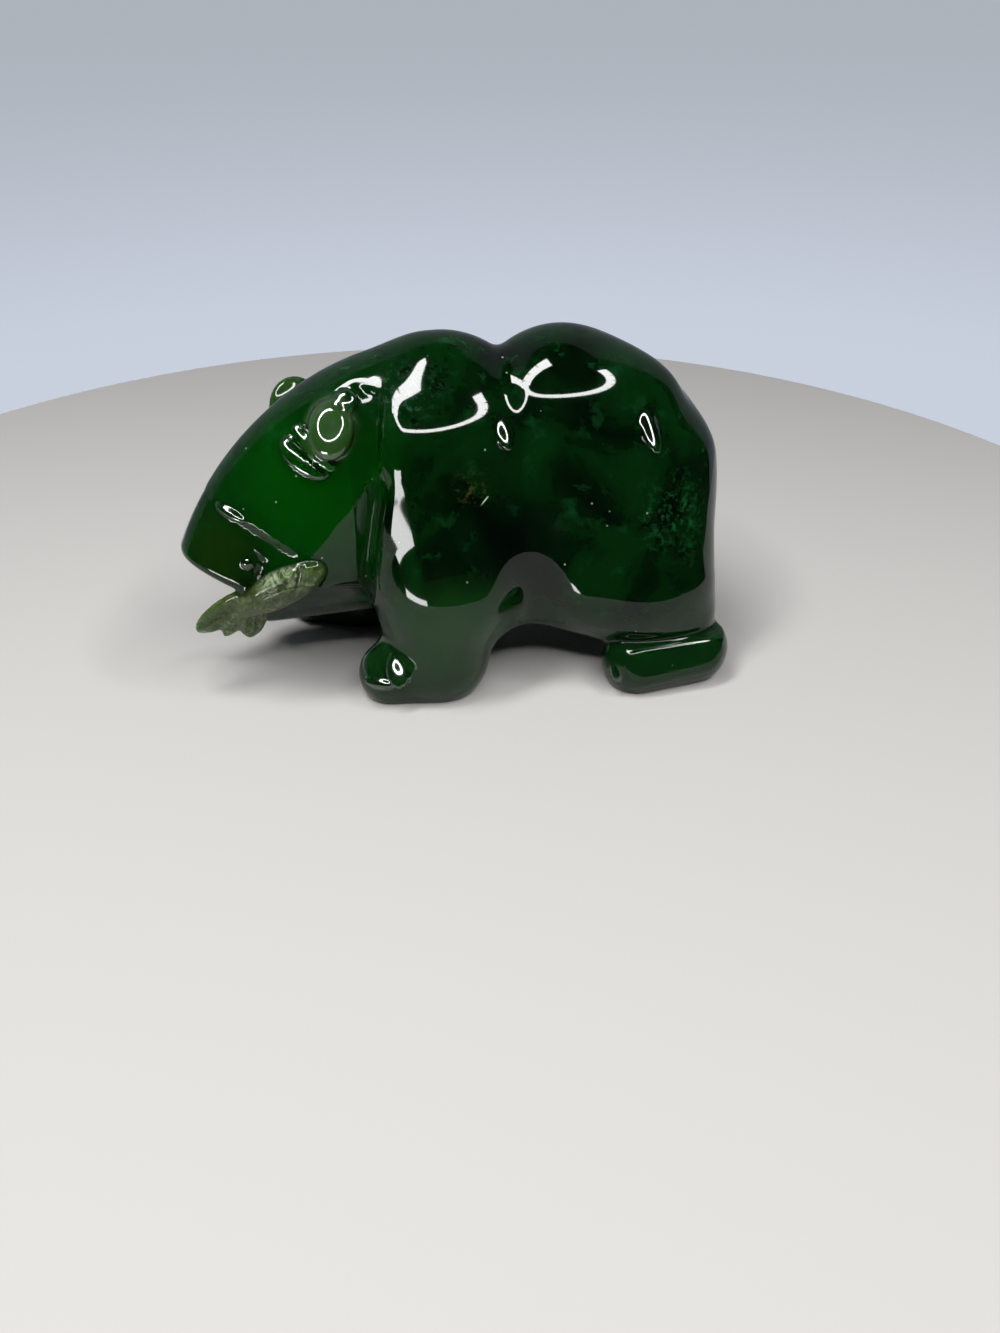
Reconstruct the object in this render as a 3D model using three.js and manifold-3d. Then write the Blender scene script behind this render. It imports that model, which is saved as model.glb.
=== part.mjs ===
// A polished jade bear, walking with its head low and a fish held across its mouth, carved from one pebble.
// Millimetres, +Z up. The head points to -X, the bear's left side to -Y. The soles stand on z = 0.
import * as THREE from "three";
import { mergeVertices } from "three/addons/utils/BufferGeometryUtils.js";
import Module from "manifold-3d";

// Driving dimensions of the carving.
const RUMP_TOP = 29; // height of the back over the hips
const SHOULDER_TOP = 29; // height of the back over the shoulders
const BELLY_CLEARANCE = 4.4; // height of the flat belly above the ground
const FOOT_TOP = 4.5; // height of the flat ledges on top of the hind feet
const HIP_WIDTH = 18.8; // across the rump
const SHOULDER_WIDTH = 17.6; // across the shoulder hump
const RIB_WIDTH = 17.4; // across the ribs, between the shoulders and the thighs
const HEAD_WIDTH = 13.2; // across the cheeks
const HEAD_TURN = THREE.MathUtils.degToRad(8); // the head looks a little to its left
const JADE = { color: 0x1d4a22, roughness: 0.12, metalness: 0 };

// How finely the surfaces are facetted: the mesh step of the bear, and that of its ears and the fish.
const BEAR_STEP = 1.23;
const THIN_STEP = 0.56;
const WELD = 0.002; // corners nearer than this are one
const SAME_PLACE = 1e-4; // corners of one grid nearer than this are one
const TINY = 1e-6; // keeps a division away from zero

// How the corners of the grid are drawn onto the surface.
const DRAW = { passes: 3, leastSlopeSquared: 0.25, longest: 0.45, reach: 0.02 };

// Distances to the simple forms. A negative distance is inside the stone.

// A rounded joint between two forms, as wide as blend.
function join(a, b, blend) {
  const near = Math.max(blend - Math.abs(a - b), 0) / blend;
  return Math.min(a, b) - (near * near * blend) / 4;
}

// The part that two forms share, its edge rounded over a width of blend.
const trim = (a, b, blend) => -join(-a, -b, blend);

const clamp = THREE.MathUtils.clamp;

// The forward, side and top directions of a form that points along forward.
function directions(forward, up = [0, 0, 1]) {
  const f = new THREE.Vector3(...forward).normalize();
  const s = new THREE.Vector3(...up).cross(f).normalize();
  return { forward: f, side: s, top: f.clone().cross(s) };
}

const LEVEL = directions([1, 0, 0]);

// The point p seen from centre, along the three directions of a form.
function place(p, centre, way) {
  const q = new THREE.Vector3(p.x - centre[0], p.y - centre[1], p.z - centre[2]);
  return [q.dot(way.forward), q.dot(way.side), q.dot(way.top)];
}

function ellipsoid(p, { centre, radii, way = LEVEL }) {
  const q = place(p, centre, way);
  const near = Math.hypot(q[0] / radii[0], q[1] / radii[1], q[2] / radii[2]);
  const slope = Math.hypot(q[0] / radii[0] ** 2, q[1] / radii[1] ** 2, q[2] / radii[2] ** 2);
  return (near * (near - 1)) / Math.max(slope, TINY);
}

// An ellipsoid that is flatter on the bear's left, where its half width is left.
function egg(p, { centre, radii, left }) {
  const aside = p.y - centre[1];
  const widened = centre[1] + aside * (aside < 0 ? radii[1] / left : 1);
  return ellipsoid(new THREE.Vector3(p.x, widened, p.z), { centre, radii });
}

// A limb: a ball at each end, and the cone that touches both.
function limb(p, { from, to, radii }) {
  const axis = new THREE.Vector3(...to).sub(new THREE.Vector3(...from));
  const q = new THREE.Vector3(p.x - from[0], p.y - from[1], p.z - from[2]);
  const long = axis.length();
  const taper = (radii[0] - radii[1]) / long;
  const along = q.dot(axis) / long;
  const across = Math.sqrt(Math.max(q.lengthSq() - along * along, 0));
  const shifted = along + (across * taper) / Math.sqrt(1 - taper * taper);
  const t = clamp(shifted, 0, long);
  return Math.hypot(along - t, across) - (radii[0] - taper * t);
}

// A limb that is flat times as wide along x as it is thick.
function slab(p, { from, to, radii, flat }) {
  const squeeze = ([x, y, z]) => [x / flat, y, z];
  return limb(new THREE.Vector3(p.x / flat, p.y, p.z), { from: squeeze(from), to: squeeze(to), radii });
}

// A rounded block whose sides lean outward toward the ground. Its scale keeps its distances true.
function leaningBlock(p, { centre, half, corner, lean, scale }) {
  const [x, y, z] = place(p, centre, LEVEL);
  const q = [x, Math.abs(y) + lean * z, z].map((v, i) => Math.abs(v) - half[i] + corner);
  const outside = Math.hypot(...q.map((v) => Math.max(v, 0)));
  return (outside + Math.min(Math.max(...q), 0) - corner) * scale;
}

// The trunk: loins and rump behind, the shoulder hump in front, and the ribs lower and between. Two flat
// lenses on the left, the shoulder blade and the hip bone, are tilted to face up and aside.
const LOIN = { centre: [8.6, 0, RUMP_TOP - 12], radii: [9.6, HIP_WIDTH / 2 - 0.6, 12], left: 8.2 };
const RUMP = { centre: [12.6, 0, RUMP_TOP - 14.6], radii: [10.2, HIP_WIDTH / 2, 11.6], left: 8.8 };
const HIP_WAY = directions([1, 0, 0], [0, -0.695, 0.719]);
const HIP_BONE = { centre: [10, -2.6, 23.2], radii: [8, 4.6, 4], way: HIP_WAY };
const HUMP = { centre: [-1.6, 0, SHOULDER_TOP - 11.4], radii: [9.4, SHOULDER_WIDTH / 2, 11.4], left: 6.6 };
const BLADE_WAY = directions([0.99, -0.139, 0], [-0.097, -0.688, 0.719]);
const BLADE = { centre: [-2.4, -3.2, 22.9], radii: [7.6, 4.8, 3.3], way: BLADE_WAY };
const RIBS = {
  centre: [4, 0, BELLY_CLEARANCE + 9],
  half: [11, RIB_WIDTH / 2, 9.4],
  corner: 5,
  lean: 0.2,
  scale: 0.97,
};
const FLANK_HOLLOW = { centre: [2.7, -15, 4], radii: [9, 7.4, 13.6] }; // in the left flank, between the legs
const TRUNK_JOINTS = { rump: 3, bones: 1.6, saddle: 1, ribs: 1.2, hollow: 1, belly: 2.4 };

function trunk(p) {
  const rear = join(egg(p, LOIN), egg(p, RUMP), TRUNK_JOINTS.rump);
  const rump = join(ellipsoid(p, HIP_BONE), rear, TRUNK_JOINTS.bones);
  const shoulders = join(egg(p, HUMP), ellipsoid(p, BLADE), TRUNK_JOINTS.bones);
  const back = join(rump, shoulders, TRUNK_JOINTS.saddle);
  const barrel = join(back, leaningBlock(p, RIBS), TRUNK_JOINTS.ribs);
  const hollowed = trim(barrel, -ellipsoid(p, FLANK_HOLLOW), TRUNK_JOINTS.hollow);
  return trim(hollowed, BELLY_CLEARANCE - p.z, TRUNK_JOINTS.belly);
}

// The legs walk: left fore foot back and right fore foot forward, left hind foot forward and right one back.
// Each is a muscle, a shank and a foot, with the widths of the joints between them and to the trunk.
const LEFT_HIND = {
  muscle: { from: [13.6, -3.4, 18], to: [13.4, -6.1, 8.4], radii: [5.4, 5.6], flat: 1.45 },
  shank: { from: [14.6, -7.2, 7.2], to: [18, -7.8, 4.4], radii: [4.2, 3.2] },
  foot: { from: [18.8, -9.6, 2.5], to: [13.6, -10.2, 2.1], radii: [3.3, 3.1] },
  joints: { knee: 2.5, ankle: 0.5, trunk: 1.5 },
};
const RIGHT_HIND = {
  muscle: { centre: [14.6, 5.4, 11.4], radii: [8, 5.4, 9] },
  shank: { from: [16.5, 7, 8], to: [18.7, 8, 4.2], radii: [4.2, 3.1] },
  foot: { from: [20, 9, 2.5], to: [15.8, 9.4, 2.1], radii: [3.2, 3.1] },
  joints: { knee: 2.5, ankle: 0.5, trunk: 1.4 },
};
const LEFT_FORE = {
  muscle: { from: [-3, -2.3, 19.3], to: [-2.6, -5.8, 9.2], radii: [6.2, 5], flat: 1.25 },
  shank: { from: [-2.6, -5.6, 9], to: [-3.6, -6.5, 3.4], radii: [5, 4.4] },
  foot: { from: [-3.6, -7, 2.6], to: [-7.8, -7.4, 1.9], radii: [4, 2.9] },
  joints: { knee: 2.6, ankle: 1.4, trunk: 2 },
};
const RIGHT_FORE = {
  muscle: { centre: [-5, 5, 15], radii: [6.4, 5.2, 10] },
  shank: { from: [-6.8, 6, 9.5], to: [-9, 7.4, 3.4], radii: [4.8, 4.4] },
  foot: { from: [-9, 7.6, 2.6], to: [-13.2, 8, 1.9], radii: [4.1, 2.9] },
  joints: { knee: 2.6, ankle: 1.4, trunk: 1 },
};
const LEDGE_EDGE = 0.8; // roundness of the edge of the hind feet's ledges

function leg(p, { muscle, shank, foot, joints }, flatTop) {
  const upper = join(muscle.flat ? slab(p, muscle) : ellipsoid(p, muscle), limb(p, shank), joints.knee);
  const round = limb(p, foot);
  return join(upper, flatTop ? trim(round, p.z - FOOT_TOP, LEDGE_EDGE) : round, joints.ankle);
}

// The head is a wedge. Its top is one long arc from the neck to the nose, its cheeks are nearly flat, and the
// upper jaw is cut off slanting below. The muzzle is set in a little behind a slanting step.
const NECK = new THREE.Vector2(-8, 0); // the point that the head turns about
const AIM = new THREE.Vector2(-Math.cos(HEAD_TURN), -Math.sin(HEAD_TURN));
const LEFT = new THREE.Vector2(Math.sin(HEAD_TURN), -Math.cos(HEAD_TURN));
const PROFILE = { back: -7, height: 3, radius: 25.5 }; // the arc's centre, behind NECK, and its radius
const CROSS_RADIUS = 6; // of the forehead from side to side
const STEEPEST_SIDE = 2; // the slope of the forehead's sides at which they stop growing steeper
const CHEEK = { from: 3, taper: 0.285, neckTaper: 0.12, lean: 0.22, leanFrom: 16, scale: 0.93 };
const JOWL = { height: 20.6, slope: 1.07, tuck: 0.25, deepest: 7 }; // the cheek tucks in below this line
const MUZZLE_STEP = { along: 0.606, down: 0.795, start: -6.4, width: 0.6, depth: 0.5, foot: 14.2, fade: 1.4 };
const MOUTH = { noseHeight: 12.9, slope: 0.55, length: 5, noseReach: 17, scale: 0.88 };
const HEAD_BACK = 6; // how far the wedge runs back inside the shoulders, from NECK
const JAW = { from: [-8, -0.2, 10.8], to: [-17.6, -1.6, 6.9], radii: [5.6, 1.7] };
const HEAD_EDGES = { cheek: 2.6, lip: 0.9, back: 2, jaw: 1.2 };

function head(p) {
  const flat = new THREE.Vector2(p.x, p.y).sub(NECK);
  const reach = flat.dot(AIM);
  const aside = flat.dot(LEFT);
  const arc = Math.hypot(reach - PROFILE.back, p.z - PROFILE.height) - PROFILE.radius;
  const drop = (aside * aside) / (2 * CROSS_RADIUS);
  const top = (arc + drop) / Math.hypot(1, Math.min(Math.abs(aside / CROSS_RADIUS), STEEPEST_SIDE));
  const before = reach - CHEEK.from;
  const half = HEAD_WIDTH / 2 - CHEEK.taper * Math.max(before, 0) - CHEEK.neckTaper * Math.max(-before, 0);
  const lean = CHEEK.lean * (CHEEK.leanFrom - p.z);
  const tuck = JOWL.tuck * clamp(p.z - JOWL.height + JOWL.slope * reach, -JOWL.deepest, 0);
  const alongFace = MUZZLE_STEP.along * reach - MUZZLE_STEP.down * p.z;
  const alongStep = MUZZLE_STEP.down * reach + MUZZLE_STEP.along * p.z;
  const past = clamp((alongFace - MUZZLE_STEP.start) / MUZZLE_STEP.width, 0, 1);
  const above = clamp((alongStep - MUZZLE_STEP.foot) / MUZZLE_STEP.fade, 0, 1);
  const set = past * above * MUZZLE_STEP.depth;
  const cheek = (Math.abs(aside) - half - lean - tuck + set) * CHEEK.scale;
  const lip = MOUTH.noseHeight - MOUTH.slope * clamp(MOUTH.noseReach - reach, 0, MOUTH.length) - p.z;
  const wedge = trim(trim(top, cheek, HEAD_EDGES.cheek), lip * MOUTH.scale, HEAD_EDGES.lip);
  const skull = trim(wedge, -(reach + HEAD_BACK), HEAD_EDGES.back);
  return join(skull, limb(p, JAW), HEAD_EDGES.jaw);
}

// The ears are thin rounded flaps on the corners of the crown. The left one lies flat against it.
const EARS = [
  { centre: [-11.2, -5.1, 23.4], radii: [1.05, 1.75, 2.4], way: directions([-0.159, -0.749, 0.643]) },
  { centre: [-13.4, 4.7, 21.8], radii: [2.5, 1, 2.8], way: directions([1, 0.45, 0], [0, 0.3, 1]) },
];

const EAR_REACH = 3.3; // half the box that one ear fits in

// The fish lies across the mouth: its head by the left corner, its tail spread in three lobes below the nose.
const FISH_LEAN = [0, -0.35, 1];
const FISH_WAY = directions([-6.8, 1.4, -3.8], FISH_LEAN);
const FISH_BODY = { centre: [-16.4, -6.2, 10.6], radii: [4.3, 1.25, 2], way: FISH_WAY };
const TAIL_ROOT = [-18.4, -6, 10.6];
const TAIL_INWARD = 0.32; // how far the lobes point to the bear's right, beside one step along the tail
const LOBE_HALF_THICKNESS = 0.65;
const TAIL_LOBES = [
  { dip: 44, long: 7.6, half: 1.5 },
  { dip: 58, long: 6.6, half: 1 },
  { dip: 76, long: 5.9, half: 1.4 },
].map(({ dip, long, half }) => {
  const angle = THREE.MathUtils.degToRad(dip);
  const way = directions([-Math.cos(angle), TAIL_INWARD, -Math.sin(angle)], FISH_LEAN);
  const centre = TAIL_ROOT.map((v, i) => v + (long / 2) * way.forward.getComponent(i));
  return { centre, radii: [long / 2, LOBE_HALF_THICKNESS, half], way };
});

const HEAD_JOINT = 0.9;
const TAIL_JOINT = 0.5;

function bear(p) {
  let d = trunk(p);
  for (const hind of [LEFT_HIND, RIGHT_HIND]) d = join(d, leg(p, hind, true), hind.joints.trunk);
  for (const fore of [LEFT_FORE, RIGHT_FORE]) d = join(d, leg(p, fore, false), fore.joints.trunk);
  return join(d, head(p), HEAD_JOINT);
}

function fish(p) {
  let d = ellipsoid(p, FISH_BODY);
  for (const lobe of TAIL_LOBES) d = join(d, ellipsoid(p, lobe), TAIL_JOINT);
  return d;
}

// The surface where distance is 0, inside the box from low to high, as one closed mesh of quads split in two.
// Each cell that the surface crosses gets one corner, which is then drawn onto the surface itself.
function skin(distance, low, high, step) {
  const count = low.map((v, i) => Math.ceil((high[i] - v) / step) + 1);
  const index = (i, j, k) => (k * count[1] + j) * count[0] + i;
  const at = (i, j, k) => new THREE.Vector3(low[0] + i * step, low[1] + j * step, low[2] + k * step);
  const values = new Float64Array(count[0] * count[1] * count[2]);
  for (let k = 0; k < count[2]; k++)
    for (let j = 0; j < count[1]; j++)
      for (let i = 0; i < count[0]; i++) values[index(i, j, k)] = distance(at(i, j, k));

  const corners = [];
  const cornerOf = new Int32Array(values.length).fill(-1);
  for (let k = 0; k + 1 < count[2]; k++)
    for (let j = 0; j + 1 < count[1]; j++)
      for (let i = 0; i + 1 < count[0]; i++) {
        const corner = cellCorner(distance, values, index, at, [i, j, k], step);
        if (!corner) continue;
        cornerOf[index(i, j, k)] = corners.length / 3;
        corners.push(corner.x, corner.y, corner.z);
      }

  const faces = [];
  const addQuad = (a, b, c, d, flip) => {
    const ring = flip ? [a, d, c, b] : [a, b, c, d];
    faces.push(ring[0], ring[1], ring[2], ring[0], ring[2], ring[3]);
  };
  for (let k = 1; k + 1 < count[2]; k++)
    for (let j = 1; j + 1 < count[1]; j++)
      for (let i = 1; i + 1 < count[0]; i++) {
        const inside = values[index(i, j, k)] < 0;
        const cell = (di, dj, dk) => cornerOf[index(i - di, j - dj, k - dk)];
        if (inside !== values[index(i + 1, j, k)] < 0)
          addQuad(cell(0, 1, 1), cell(0, 0, 1), cell(0, 0, 0), cell(0, 1, 0), !inside);
        if (inside !== values[index(i, j + 1, k)] < 0)
          addQuad(cell(1, 0, 1), cell(1, 0, 0), cell(0, 0, 0), cell(0, 0, 1), !inside);
        if (inside !== values[index(i, j, k + 1)] < 0)
          addQuad(cell(1, 1, 0), cell(0, 1, 0), cell(0, 0, 0), cell(1, 0, 0), !inside);
      }
  const geometry = new THREE.BufferGeometry();
  geometry.setAttribute("position", new THREE.Float32BufferAttribute(corners, 3));
  geometry.setIndex(faces);
  return geometry;
}

// The mean of the points where the surface cuts a cell's edges, drawn onto the surface, or null.
function cellCorner(distance, values, index, at, [i, j, k], step) {
  const spots = [];
  for (let n = 0; n < 8; n++) spots.push([i + (n & 1), j + ((n >> 1) & 1), k + ((n >> 2) & 1)]);
  const sum = new THREE.Vector3();
  let cuts = 0;
  for (let n = 0; n < 8; n++)
    for (const bit of [1, 2, 4]) {
      if (n & bit) continue;
      const a = values[index(...spots[n])];
      const b = values[index(...spots[n | bit])];
      if (a < 0 === b < 0) continue;
      sum.add(at(...spots[n]).lerp(at(...spots[n | bit]), a / (a - b)));
      cuts++;
    }
  if (!cuts) return null;
  const mean = sum.divideScalar(cuts);
  const corner = mean.clone();
  for (let pass = 0; pass < DRAW.passes; pass++) {
    const d = distance(corner);
    const slope = slopeOf(distance, corner);
    corner.addScaledVector(slope, -d / Math.max(slope.lengthSq(), DRAW.leastSlopeSquared));
  }
  const moved = corner.clone().sub(mean);
  return mean.add(moved.clampLength(0, step * DRAW.longest));
}

function slopeOf(distance, p) {
  const { reach } = DRAW;
  const slope = new THREE.Vector3();
  for (let axis = 0; axis < 3; axis++) {
    const ahead = p.clone();
    const behind = p.clone();
    ahead.setComponent(axis, p.getComponent(axis) + reach);
    behind.setComponent(axis, p.getComponent(axis) - reach);
    slope.setComponent(axis, (distance(ahead) - distance(behind)) / (2 * reach));
  }
  return slope;
}

const library = await Module();
library.setup();

function solidOf(geometry) {
  const bare = new THREE.BufferGeometry();
  bare.setAttribute("position", geometry.getAttribute("position"));
  bare.setIndex(geometry.index);
  const merged = mergeVertices(bare, SAME_PLACE);
  return new library.Manifold(
    new library.Mesh({
      numProp: 3,
      vertProperties: merged.getAttribute("position").array,
      triVerts: new Uint32Array(merged.index.array),
    }),
  );
}

// The mesh of a solid, with the slivers along a cut closed up: corners nearer than WELD become one.
function geometryOf(solid) {
  const mesh = solid.getMesh();
  const cut = new THREE.BufferGeometry();
  cut.setAttribute("position", new THREE.BufferAttribute(mesh.vertProperties, 3));
  cut.setIndex(new THREE.BufferAttribute(mesh.triVerts, 1));
  const welded = mergeVertices(cut, WELD);
  const corners = welded.index.array;
  const faces = [];
  for (let i = 0; i < corners.length; i += 3) {
    const [a, b, c] = corners.slice(i, i + 3);
    if (a !== b && b !== c && c !== a) faces.push(a, b, c);
  }
  welded.setIndex(faces);
  welded.computeVertexNormals();
  return welded;
}

// The ground: a slab whose top is z = 0. It cuts the four soles flat.
const GROUND = { wide: 80, deep: 10 };
const ground = new THREE.BoxGeometry(GROUND.wide, GROUND.wide, GROUND.deep).translate(0, 0, -GROUND.deep / 2);

// The boxes that the bear and the fish fit in.
const BEAR_BOX = { low: [-27, -15, -3], high: [27, 15, 32] };
const FISH_BOX = { low: [-26, -10, 1], high: [-10, 0, 15] };

let carving = solidOf(skin(bear, BEAR_BOX.low, BEAR_BOX.high, BEAR_STEP));
carving = carving.add(solidOf(skin(fish, FISH_BOX.low, FISH_BOX.high, THIN_STEP)));
for (const ear of EARS) {
  const low = ear.centre.map((v) => v - EAR_REACH);
  const high = ear.centre.map((v) => v + EAR_REACH);
  carving = carving.add(solidOf(skin((p) => ellipsoid(p, ear), low, high, THIN_STEP)));
}
carving = carving.subtract(solidOf(ground));

// The carving is moved so that the middle of its box is over the origin.
const MIDDLE = [-0.41, -0.39];
const placed = geometryOf(carving).translate(-MIDDLE[0], -MIDDLE[1], 0);
const bearWithFish = new THREE.Mesh(placed, new THREE.MeshStandardMaterial(JADE));
bearWithFish.name = "bear_with_fish";

const part = new THREE.Group();
part.add(bearWithFish);

export default part;
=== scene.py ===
"""Looks of the carved jade bear with a fish: the polished stone, its floor, backdrop, light and camera.

The bear is measured in millimetres in its carving frame: head toward -X, its left side toward -Y, soles at
z = 0. It is shifted into the row frame and scaled to metres when its mesh is made. Near is its left side,
which the camera sees, and far is its right side.
"""
import math

import bpy
import numpy as np
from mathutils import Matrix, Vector


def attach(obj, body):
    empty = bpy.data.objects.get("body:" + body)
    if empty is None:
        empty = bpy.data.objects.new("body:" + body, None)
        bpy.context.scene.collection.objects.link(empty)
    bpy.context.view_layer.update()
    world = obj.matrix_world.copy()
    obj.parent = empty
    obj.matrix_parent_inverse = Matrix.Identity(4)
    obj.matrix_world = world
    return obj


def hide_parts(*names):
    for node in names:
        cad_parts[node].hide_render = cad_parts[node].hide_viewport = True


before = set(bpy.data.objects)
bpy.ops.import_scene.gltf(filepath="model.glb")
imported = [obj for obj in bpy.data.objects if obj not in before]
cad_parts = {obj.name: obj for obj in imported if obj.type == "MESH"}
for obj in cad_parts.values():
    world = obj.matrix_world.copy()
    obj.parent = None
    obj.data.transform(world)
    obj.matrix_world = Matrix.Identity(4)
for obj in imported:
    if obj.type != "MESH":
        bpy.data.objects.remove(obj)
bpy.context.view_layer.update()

# Driving dimensions, the same as the solid's, in millimetres and degrees
BELLY_CLEARANCE = 4.4
FOOT_TOP = 4.5
HEAD_TURN = 8.0
MIDDLE = (-0.41, -0.39)

# Mesh of the visual piece
GRID_STEP = 0.245
GRID_LOW = (-25.5, -14.0, -0.6)
GRID_HIGH = (24.5, 14.0, 30.0)
NORMAL_STEP = 0.04
SETTLING_PASSES = 3
SETTLING_SHARE = 0.9
MM = 0.001

# Camera, fitted to the photograph
CAMERA_AZIMUTH = -12.0
CAMERA_ELEVATION = 33.0
CAMERA_DISTANCE = 99.0
CAMERA_TARGET = (2.61, -5.21, 0.0)
FOCAL_PIXELS = 1083.0
IMAGE_SIZE = (1000, 1333)
SENSOR = 36.0

F = np.float32
WEDGE_SCALE = 0.97


def length(v):
    return np.sqrt(np.einsum("ij,ij->i", v, v))


def smooth_min(a, b, k):
    """The smaller of two distances, rounded over a width of k."""
    h = np.maximum(k - np.abs(a - b), 0) / k
    return np.minimum(a, b) - h * h * (k * 0.25)


def smooth_max(a, b, k):
    return -smooth_min(-a, -b, k)


def basis(forward, up=(0, 0, 1)):
    """Three unit rows: forward, to the side and up."""
    f = np.array(forward, float)
    f /= np.linalg.norm(f)
    s = np.cross(up, f)
    s /= np.linalg.norm(s)
    return np.array([f, s, np.cross(f, s)], F)


def ellipsoid(p, centre, radii, turn=None):
    q = p - np.array(centre, F)
    if turn is not None:
        q = q @ turn.T
    r = np.array(radii, F)
    k0 = length(q / r)
    k1 = length(q / (r * r))
    return k0 * (k0 - 1) / np.maximum(k1, F(1e-6))


def egg(p, centre, radii, near):
    """An ellipsoid that is flatter on the near side, where its half width is near."""
    q = p - np.array(centre, F)
    q[:, 1] *= np.where(q[:, 1] < 0, F(radii[1] / near), F(1))
    return ellipsoid(q, (0, 0, 0), radii)


def limb(p, a, b, ra, rb):
    """A tapered rod with round ends, from a with radius ra to b with radius rb."""
    a = np.array(a, F)
    ba = np.array(b, F) - a
    l2 = F(ba @ ba)
    rr = F(ra - rb)
    a2 = l2 - rr * rr
    il2 = 1 / l2
    pa = p - a
    y = pa @ ba
    z = y - l2
    w = pa * l2 - y[:, None] * ba
    x2 = np.einsum("ij,ij->i", w, w)
    y2 = y * y * l2
    z2 = z * z * l2
    k = np.sign(rr) * rr * rr * x2
    at_b = np.sqrt(x2 + z2) * il2 - rb
    at_a = np.sqrt(x2 + y2) * il2 - ra
    between = (np.sqrt(x2 * a2 * il2) + y * rr) * il2 - ra
    side = np.where(np.sign(y) * a2 * y2 < k, at_a, between)
    return np.where(np.sign(z) * a2 * z2 > k, at_b, side).astype(F)


def wedge(p, centre, half, radius, lean):
    """A rounded block whose sides lean outward toward the ground."""
    q = p - np.array(centre, F)
    q[:, 1] = np.abs(q[:, 1]) + lean * q[:, 2]
    q = np.abs(q) - (np.array(half, F) - F(radius))
    return (length(np.maximum(q, 0)) + np.minimum(q.max(axis=1), 0) - F(radius)) * F(WEDGE_SCALE)


def slab(p, a, b, ra, rb, flat):
    """A limb that is wider along x than it is thick."""
    squeeze = np.array((1 / flat, 1, 1), F)
    return limb(p * squeeze, np.array(a, F) * squeeze, np.array(b, F) * squeeze, ra, rb)


def rod(p, a, b, radius):
    a = np.array(a, F)
    ba = np.array(b, F) - a
    pa = p - a
    h = np.clip((pa @ ba) / F(ba @ ba), 0, 1)
    return length(pa - h[:, None] * ba) - F(radius)


TURN = math.radians(HEAD_TURN)
AIM = np.array((-math.cos(TURN), -math.sin(TURN)), F)
LEFT = np.array((math.sin(TURN), -math.cos(TURN)), F)
NECK = np.array((-8.0, 0.0), F)

# Trunk: eggs with their middle, radii and near half width, lenses with their middle, radii and directions
LOIN = ((8.6, 0, 17.0), (9.6, 8.8, 12.0), 8.2)
RUMP = ((12.6, 0, 14.4), (10.2, 9.4, 11.6), 8.8)
HUMP = ((-1.6, 0, 17.6), (9.4, 8.8, 11.4), 6.6)
BLADE = ((-3.6, -3.25, 22.8), (8.8, 4.9, 3.4), basis((0.990, -0.139, 0.0), (-0.097, -0.688, 0.719)))
HIP = ((10.0, -2.6, 23.2), (8.0, 4.6, 4.0), basis((1.0, 0.0, 0.0), (0.0, -0.695, 0.719)))
RIBS = ((4.0, 0, 13.4), (11.0, 8.7, 9.4), 5.0, F(0.2))
FLANK_HOLLOW = ((2.7, -15.0, 4.0), (9.0, 7.4, 13.6))
TRUNK_JOINTS = {
    "rump": 3.0,
    "bones": 1.6,
    "neck": 0.5,
    "saddle": 1.0,
    "ribs": 1.2,
    "hollow": 1.0,
    "belly": 2.4,
}

# The front of the near shoulder: a place (x, z) on it, its lean below and above that place, its steepness,
# and how far across the back it reaches
NECK_LINE = (-6.75, 25.5)
NECK_LEAN = (0.13, 1.44)
NECK_STEEPNESS = 0.6
NECK_SIDE = 1.0

# Legs: two ends and two radii each; a near muscle is also wider along x than it is thick
NEAR_THIGH = ((13.6, -3.4, 18.0), (13.4, -6.1, 8.4), 5.4, 5.6, 1.45)
NEAR_HIND_SHANK = ((14.6, -7.2, 7.2), (18.0, -7.8, 4.4), 4.2, 3.2)
NEAR_HIND_FOOT = ((13.6, -10.2, 2.1), (18.8, -9.6, 2.5), 3.1, 3.3)
FAR_THIGH = ((14.6, 5.4, 11.4), (8.0, 5.4, 9.0))
FAR_HIND_SHANK = ((16.5, 7.0, 8.0), (18.7, 8.0, 4.2), 4.2, 3.1)
FAR_HIND_FOOT = ((15.8, 9.4, 2.1), (20.0, 9.0, 2.5), 3.1, 3.2)
NEAR_UPPER = ((-3.4, -2.5, 19.6), (-2.6, -5.8, 9.2), 6.05, 5.0, 1.25)
NEAR_FORE_SHANK = ((-2.6, -5.6, 9.0), (-3.6, -6.5, 3.4), 5.0, 4.4)
NEAR_FORE_FOOT = ((-3.6, -7.0, 2.6), (-7.8, -7.4, 1.9), 4.0, 2.9)
FAR_UPPER = ((-5.0, 5.0, 15.0), (6.4, 5.2, 10.0))
FAR_FORE_SHANK = ((-6.8, 6.0, 9.5), (-9.0, 7.4, 3.4), 4.8, 4.4)
FAR_FORE_FOOT = ((-9.0, 7.6, 2.6), (-13.2, 8.0, 1.9), 4.1, 2.9)
HIND_JOINTS = {"knee": 2.5, "ankle": 0.5}
FORE_JOINTS = {"knee": 2.6, "ankle": 1.4}
LEDGE_EDGE = 0.45

# Flat faces ground on the near legs: the side of the hind foot, and the front of the fore leg with its lean
FOOT_SIDE = np.array((0.039, -0.924, 0.380), F)
FOOT_SIDE_REACH = 13.5
FOOT_SIDE_EDGE = 0.3
LEG_FRONT = (-8.7, 14.0)
LEG_FRONT_WAY = (0.97, 0.24)
LEG_FRONT_EDGE = 1.0

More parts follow.
